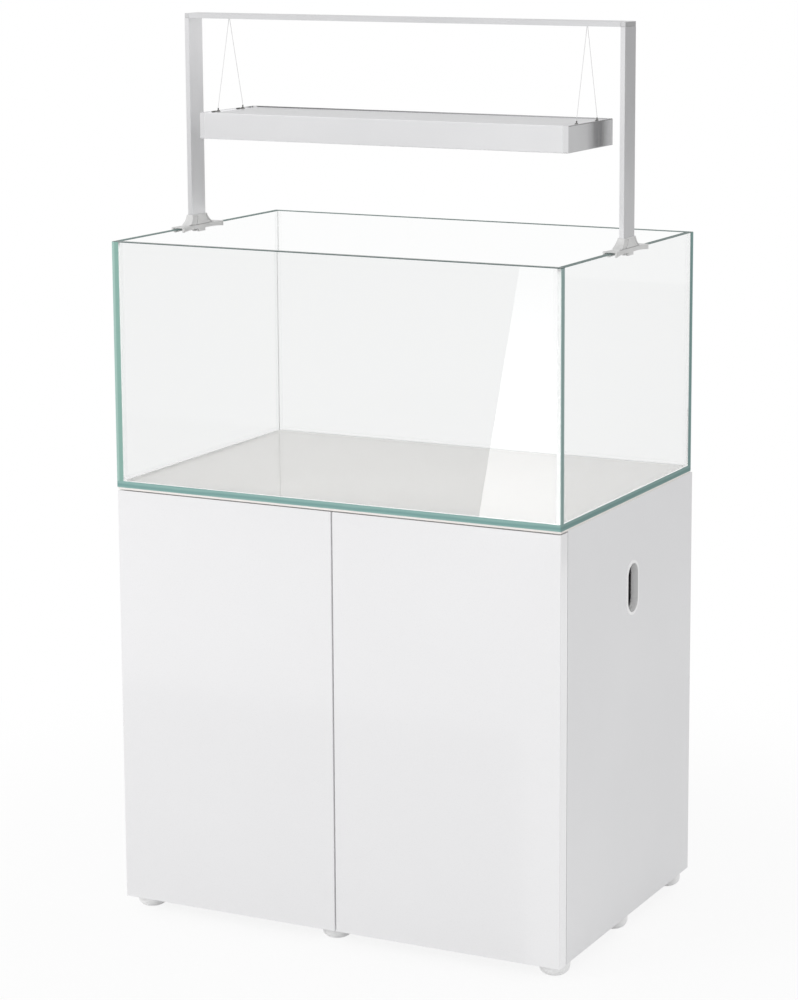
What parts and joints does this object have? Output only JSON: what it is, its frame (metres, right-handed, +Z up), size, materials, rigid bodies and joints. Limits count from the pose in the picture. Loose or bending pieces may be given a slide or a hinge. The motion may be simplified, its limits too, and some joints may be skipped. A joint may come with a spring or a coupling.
{
  "type": "aquarium with cabinet",
  "caption": "Rimless glass aquarium on a white two-door cabinet, with a slim lamp hung on wires from a stand over the rim.",
  "frame": {"origin": "on the floor, at the middle of the overall width and depth", "axes": "+X along the width to the viewer's right, -Y towards the doors, +Z up"},
  "size_m": [0.9154, 0.608, 1.676],
  "materials": {
    "white_board": "white melamine-faced board with matching edging",
    "clear_glass": "clear float glass, polished edges with a sea-green tint",
    "clear_silicone": "clear silicone",
    "white_foam": "white closed-cell foam",
    "white_plastic": "white moulded plastic",
    "zinc": "die-cast zinc",
    "steel": "nickel-plated steel",
    "anodised_aluminium": "silver anodised, fine satin",
    "silver_plastic": "silver-grey moulded plastic",
    "clear_pad": "clear soft pad",
    "nickel": "dark nickel plate",
    "steel_wire": "fine stranded steel",
    "polished_cap": "polished aluminium",
    "opal_plastic": "opal acrylic",
    "led_white": "white-coated circuit board with small light chips",
    "black_plastic": "black moulded plastic"
  },
  "bodies": {
    "cabinet": {"back_panel": "white_board", "base_pane": "clear_glass", "bottom_panel": "white_board", "cable_grommet": "white_plastic", "cam_bolts": "steel", "cam_locks": "zinc", "centre_partition": "white_board", "front_pane": "clear_glass", "hinge_arms": "steel", "hinge_plates": "steel", "latch_housings": "white_plastic", "left_pane": "clear_glass", "left_side_panel": "white_board", "leveller_sockets": "steel", "rear_pane": "clear_glass", "right_pane": "clear_glass", "right_side_panel": "white_board", "silicone_seams": "clear_silicone", "tank_mat": "white_foam", "top_panel": "white_board"},
    "stand": {"left_post": "anodised_aluminium", "right_post": "anodised_aluminium", "top_bar": "anodised_aluminium", "left_corner_block": "silver_plastic", "right_corner_block": "silver_plastic", "left_clip_foot": "silver_plastic", "right_clip_foot": "silver_plastic", "clip_pads": "clear_pad", "wire_anchors": "nickel", "wire_left_front": "steel_wire", "wire_left_rear": "steel_wire", "wire_right_front": "steel_wire", "wire_right_rear": "steel_wire"},
    "lamp": {"lamp_housing": "anodised_aluminium", "left_end_cap": "polished_cap", "right_end_cap": "polished_cap", "diffuser": "opal_plastic", "led_board": "led_white", "cable_gland": "black_plastic", "wire_grippers": "nickel"},
    "left_links": {"left_hinge_links": "steel"},
    "left_door": {"left_door": "white_board", "left_hinge_cups": "steel", "left_strike_plate": "steel"},
    "left_plunger": {"left_latch_plunger": "white_plastic"},
    "right_links": {"right_hinge_links": "steel"},
    "right_door": {"right_door": "white_board", "right_hinge_cups": "steel", "right_strike_plate": "steel"},
    "right_plunger": {"right_latch_plunger": "white_plastic"},
    "foot_centre_left": {"foot_centre_left": "white_plastic"},
    "foot_centre_middle": {"foot_centre_middle": "white_plastic"},
    "foot_centre_right": {"foot_centre_right": "white_plastic"},
    "foot_front_left": {"foot_front_left": "white_plastic"},
    "foot_front_middle": {"foot_front_middle": "white_plastic"},
    "foot_front_right": {"foot_front_right": "white_plastic"},
    "foot_rear_left": {"foot_rear_left": "white_plastic"},
    "foot_rear_middle": {"foot_rear_middle": "white_plastic"},
    "foot_rear_right": {"foot_rear_right": "white_plastic"}
  },
  "joints": [
    {"name": "left_link_turn", "type": "hinge", "parent": "cabinet", "child": "left_links", "pos_m": [-0.42, -0.286, 0.417], "axis": [0, 0, 1], "range_deg": [0, 39.95]},
    {"name": "left_door_turn", "type": "hinge", "parent": "left_links", "child": "left_door", "pos_m": [-0.439, -0.28, 0.417], "axis": [0, 0, 1], "range_deg": [-144.9, 0]},
    {"name": "left_latch_push", "type": "slide", "parent": "cabinet", "child": "left_plunger", "axis": [0, 1, 0], "range_m": [0, 0.0025], "stiffness_N_per_m": 600, "springref_m": -0.005},
    {"name": "right_link_turn", "type": "hinge", "parent": "cabinet", "child": "right_links", "pos_m": [0.42, -0.286, 0.417], "axis": [0, 0, 1], "range_deg": [-39.95, 0]},
    {"name": "right_door_turn", "type": "hinge", "parent": "right_links", "child": "right_door", "pos_m": [0.439, -0.28, 0.417], "axis": [0, 0, 1], "range_deg": [0, 144.9]},
    {"name": "right_latch_push", "type": "slide", "parent": "cabinet", "child": "right_plunger", "axis": [0, 1, 0], "range_m": [0, 0.0025], "stiffness_N_per_m": 600, "springref_m": -0.005},
    {"name": "stand_position", "type": "slide", "parent": "cabinet", "child": "stand", "axis": [0, 1, 0], "range_m": [-0.15, 0.15]},
    {"name": "lamp_height", "type": "slide", "parent": "stand", "child": "lamp", "axis": [0, 0, 1], "range_m": [0, 0.1], "deforming": ["wire_left_front", "wire_left_rear", "wire_right_front", "wire_right_rear"]},
    {"name": "foot_centre_left_screw", "type": "slide", "parent": "cabinet", "child": "foot_centre_left", "axis": [0, 0, -1], "range_m": [0, 0.01]},
    {"name": "foot_centre_middle_screw", "type": "slide", "parent": "cabinet", "child": "foot_centre_middle", "axis": [0, 0, -1], "range_m": [0, 0.01]},
    {"name": "foot_centre_right_screw", "type": "slide", "parent": "cabinet", "child": "foot_centre_right", "axis": [0, 0, -1], "range_m": [0, 0.01]},
    {"name": "foot_front_left_screw", "type": "slide", "parent": "cabinet", "child": "foot_front_left", "axis": [0, 0, -1], "range_m": [0, 0.01]},
    {"name": "foot_front_middle_screw", "type": "slide", "parent": "cabinet", "child": "foot_front_middle", "axis": [0, 0, -1], "range_m": [0, 0.01]},
    {"name": "foot_front_right_screw", "type": "slide", "parent": "cabinet", "child": "foot_front_right", "axis": [0, 0, -1], "range_m": [0, 0.01]},
    {"name": "foot_rear_left_screw", "type": "slide", "parent": "cabinet", "child": "foot_rear_left", "axis": [0, 0, -1], "range_m": [0, 0.01]},
    {"name": "foot_rear_middle_screw", "type": "slide", "parent": "cabinet", "child": "foot_rear_middle", "axis": [0, 0, -1], "range_m": [0, 0.01]},
    {"name": "foot_rear_right_screw", "type": "slide", "parent": "cabinet", "child": "foot_rear_right", "axis": [0, 0, -1], "range_m": [0, 0.01]}
  ],
  "couplings": [
    {"joint": "left_link_turn", "follows": "left_door_turn", "ratio": -0.27536},
    {"joint": "right_link_turn", "follows": "right_door_turn", "ratio": -0.27536}
  ]
}
